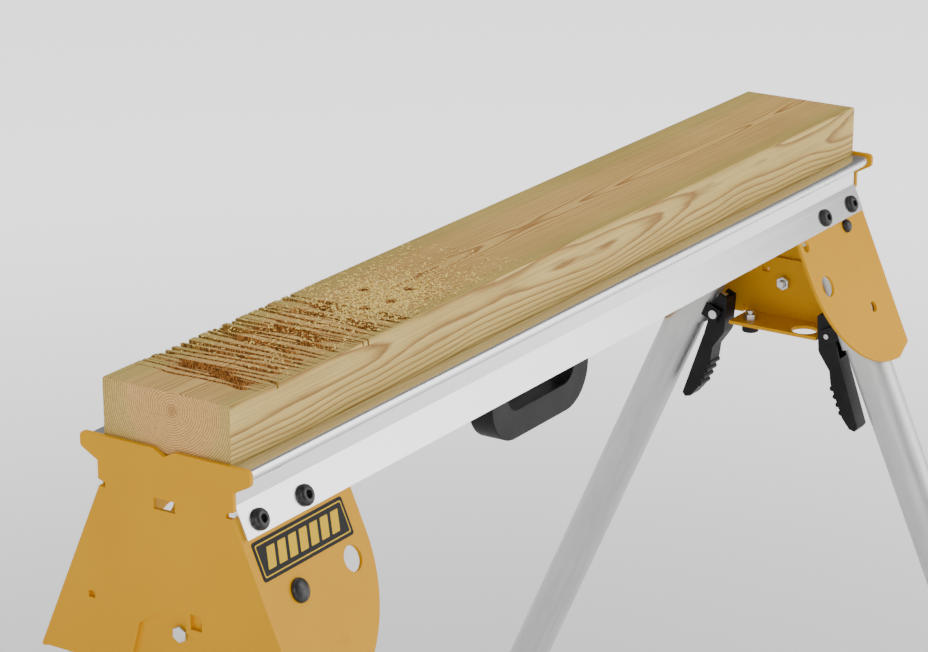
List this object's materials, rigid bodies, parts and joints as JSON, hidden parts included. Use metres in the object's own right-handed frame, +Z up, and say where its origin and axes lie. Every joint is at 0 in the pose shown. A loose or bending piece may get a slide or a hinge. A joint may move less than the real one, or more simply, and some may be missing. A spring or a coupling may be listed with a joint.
{
  "type": "folding sawhorse",
  "caption": "Folding sawhorse with an extruded beam, sheet-steel end brackets, folding tube legs with squeeze-lever locks, a carry handle and a timber work top.",
  "frame": {"origin": "on the floor, below the middle of the beam", "axes": "+X along the beam, +Z up"},
  "size_m": [0.824, 0.7042, 0.7642],
  "materials": {
    "beam_aluminium": "satin extruded",
    "tube_aluminium": "satin drawn",
    "yellow_steel": "satin powder coat, amber yellow",
    "black_steel": "black oxide, semi-gloss",
    "zinc_steel": "zinc plated",
    "black_plastic": "moulded, fine texture",
    "black_rubber": "matt",
    "label": "printed vinyl",
    "timber": "planed softwood"
  },
  "bodies": {
    "stand": {"beam_extrusion": "beam_aluminium", "carry_handle": "black_plastic", "handle_screws": "zinc_steel", "label_plates": "label", "end_bracket_a": "yellow_steel", "inner_brace_a": "yellow_steel", "rubber_bumper_a": "black_rubber", "brace_bolts_a": "black_steel", "brace_nuts_a": "zinc_steel", "skirt_screws_a": "black_steel", "clinch_nuts_a": "zinc_steel", "pivot_bolts_a": "black_steel", "pivot_nuts_a": "zinc_steel", "end_bracket_b": "yellow_steel", "inner_brace_b": "yellow_steel", "rubber_bumper_b": "black_rubber", "brace_bolts_b": "black_steel", "brace_nuts_b": "zinc_steel", "skirt_screws_b": "black_steel", "clinch_nuts_b": "zinc_steel", "pivot_bolts_b": "black_steel", "pivot_nuts_b": "zinc_steel"},
    "leg_a_left": {"leg_tube_a_left": "tube_aluminium", "top_plug_a_left": "black_plastic", "rubber_foot_a_left": "black_rubber", "lever_saddle_a_left": "tube_aluminium", "fulcrum_pin_a_left": "zinc_steel", "lever_spring_a_left": "zinc_steel"},
    "lever_a_left": {"squeeze_lever_a_left": "black_plastic"},
    "plunger_a_left": {"lock_plunger_a_left": "zinc_steel"},
    "leg_a_right": {"leg_tube_a_right": "tube_aluminium", "top_plug_a_right": "black_plastic", "rubber_foot_a_right": "black_rubber", "lever_saddle_a_right": "tube_aluminium", "fulcrum_pin_a_right": "zinc_steel", "lever_spring_a_right": "zinc_steel"},
    "lever_a_right": {"squeeze_lever_a_right": "black_plastic"},
    "plunger_a_right": {"lock_plunger_a_right": "zinc_steel"},
    "leg_b_left": {"leg_tube_b_left": "tube_aluminium", "top_plug_b_left": "black_plastic", "rubber_foot_b_left": "black_rubber", "lever_saddle_b_left": "tube_aluminium", "fulcrum_pin_b_left": "zinc_steel", "lever_spring_b_left": "zinc_steel"},
    "lever_b_left": {"squeeze_lever_b_left": "black_plastic"},
    "plunger_b_left": {"lock_plunger_b_left": "zinc_steel"},
    "leg_b_right": {"leg_tube_b_right": "tube_aluminium", "top_plug_b_right": "black_plastic", "rubber_foot_b_right": "black_rubber", "lever_saddle_b_right": "tube_aluminium", "fulcrum_pin_b_right": "zinc_steel", "lever_spring_b_right": "zinc_steel"},
    "lever_b_right": {"squeeze_lever_b_right": "black_plastic"},
    "plunger_b_right": {"lock_plunger_b_right": "zinc_steel"},
    "timber": {"sacrificial_timber": "timber"}
  },
  "joints": [
    {"name": "leg_fold_a_left", "type": "hinge", "parent": "stand", "child": "leg_a_left", "pos_m": [-0.3782, 0.07313, 0.643], "axis": [0, -0.9157, -0.4019], "range_deg": [0, 90]},
    {"name": "lever_squeeze_a_left", "type": "hinge", "parent": "leg_a_left", "child": "lever_a_left", "pos_m": [-0.3782, 0.06125, 0.56308], "axis": [1, 0, 0], "range_deg": [0, 7], "stiffness_Nm_per_rad": 1.2, "springref_deg": -8.59},
    {"name": "plunger_slide_a_left", "type": "slide", "parent": "leg_a_left", "child": "plunger_a_left", "axis": [0, -0.9157, -0.4019], "range_m": [0, 0.0015]},
    {"name": "leg_fold_a_right", "type": "hinge", "parent": "stand", "child": "leg_a_right", "pos_m": [-0.3782, -0.07313, 0.643], "axis": [0, -0.9157, 0.4019], "range_deg": [0, 90]},
    {"name": "lever_squeeze_a_right", "type": "hinge", "parent": "leg_a_right", "child": "lever_a_right", "pos_m": [-0.3782, -0.06125, 0.56308], "axis": [-1, 0, 0], "range_deg": [0, 7], "stiffness_Nm_per_rad": 1.2, "springref_deg": -8.59},
    {"name": "plunger_slide_a_right", "type": "slide", "parent": "leg_a_right", "child": "plunger_a_right", "axis": [0, 0.9157, -0.4019], "range_m": [0, 0.0015]},
    {"name": "leg_fold_b_left", "type": "hinge", "parent": "stand", "child": "leg_b_left", "pos_m": [0.3782, 0.05865, 0.676], "axis": [0, 0.9157, 0.4019], "range_deg": [0, 90]},
    {"name": "lever_squeeze_b_left", "type": "hinge", "parent": "leg_b_left", "child": "lever_b_left", "pos_m": [0.3782, 0.05143, 0.58546], "axis": [1, 0, 0], "range_deg": [0, 7], "stiffness_Nm_per_rad": 1.2, "springref_deg": -8.59},
    {"name": "plunger_slide_b_left", "type": "slide", "parent": "leg_b_left", "child": "plunger_b_left", "axis": [0, -0.9157, -0.4019], "range_m": [0, 0.0015]},
    {"name": "leg_fold_b_right", "type": "hinge", "parent": "stand", "child": "leg_b_right", "pos_m": [0.3782, -0.05865, 0.676], "axis": [0, 0.9157, -0.4019], "range_deg": [0, 90]},
    {"name": "lever_squeeze_b_right", "type": "hinge", "parent": "leg_b_right", "child": "lever_b_right", "pos_m": [0.3782, -0.05143, 0.58546], "axis": [-1, 0, 0], "range_deg": [0, 7], "stiffness_Nm_per_rad": 1.2, "springref_deg": -8.59},
    {"name": "plunger_slide_b_right", "type": "slide", "parent": "leg_b_right", "child": "plunger_b_right", "axis": [0, 0.9157, -0.4019], "range_m": [0, 0.0015]},
    {"name": "timber_lift", "type": "slide", "parent": "stand", "child": "timber", "axis": [0, 0, 1], "range_m": [0, 0.2]}
  ],
  "couplings": [
    {"joint": "plunger_slide_a_left", "follows": "lever_squeeze_a_left", "m_per_rad": 0.012},
    {"joint": "plunger_slide_a_right", "follows": "lever_squeeze_a_right", "m_per_rad": 0.012},
    {"joint": "plunger_slide_b_left", "follows": "lever_squeeze_b_left", "m_per_rad": 0.012},
    {"joint": "plunger_slide_b_right", "follows": "lever_squeeze_b_right", "m_per_rad": 0.012}
  ]
}
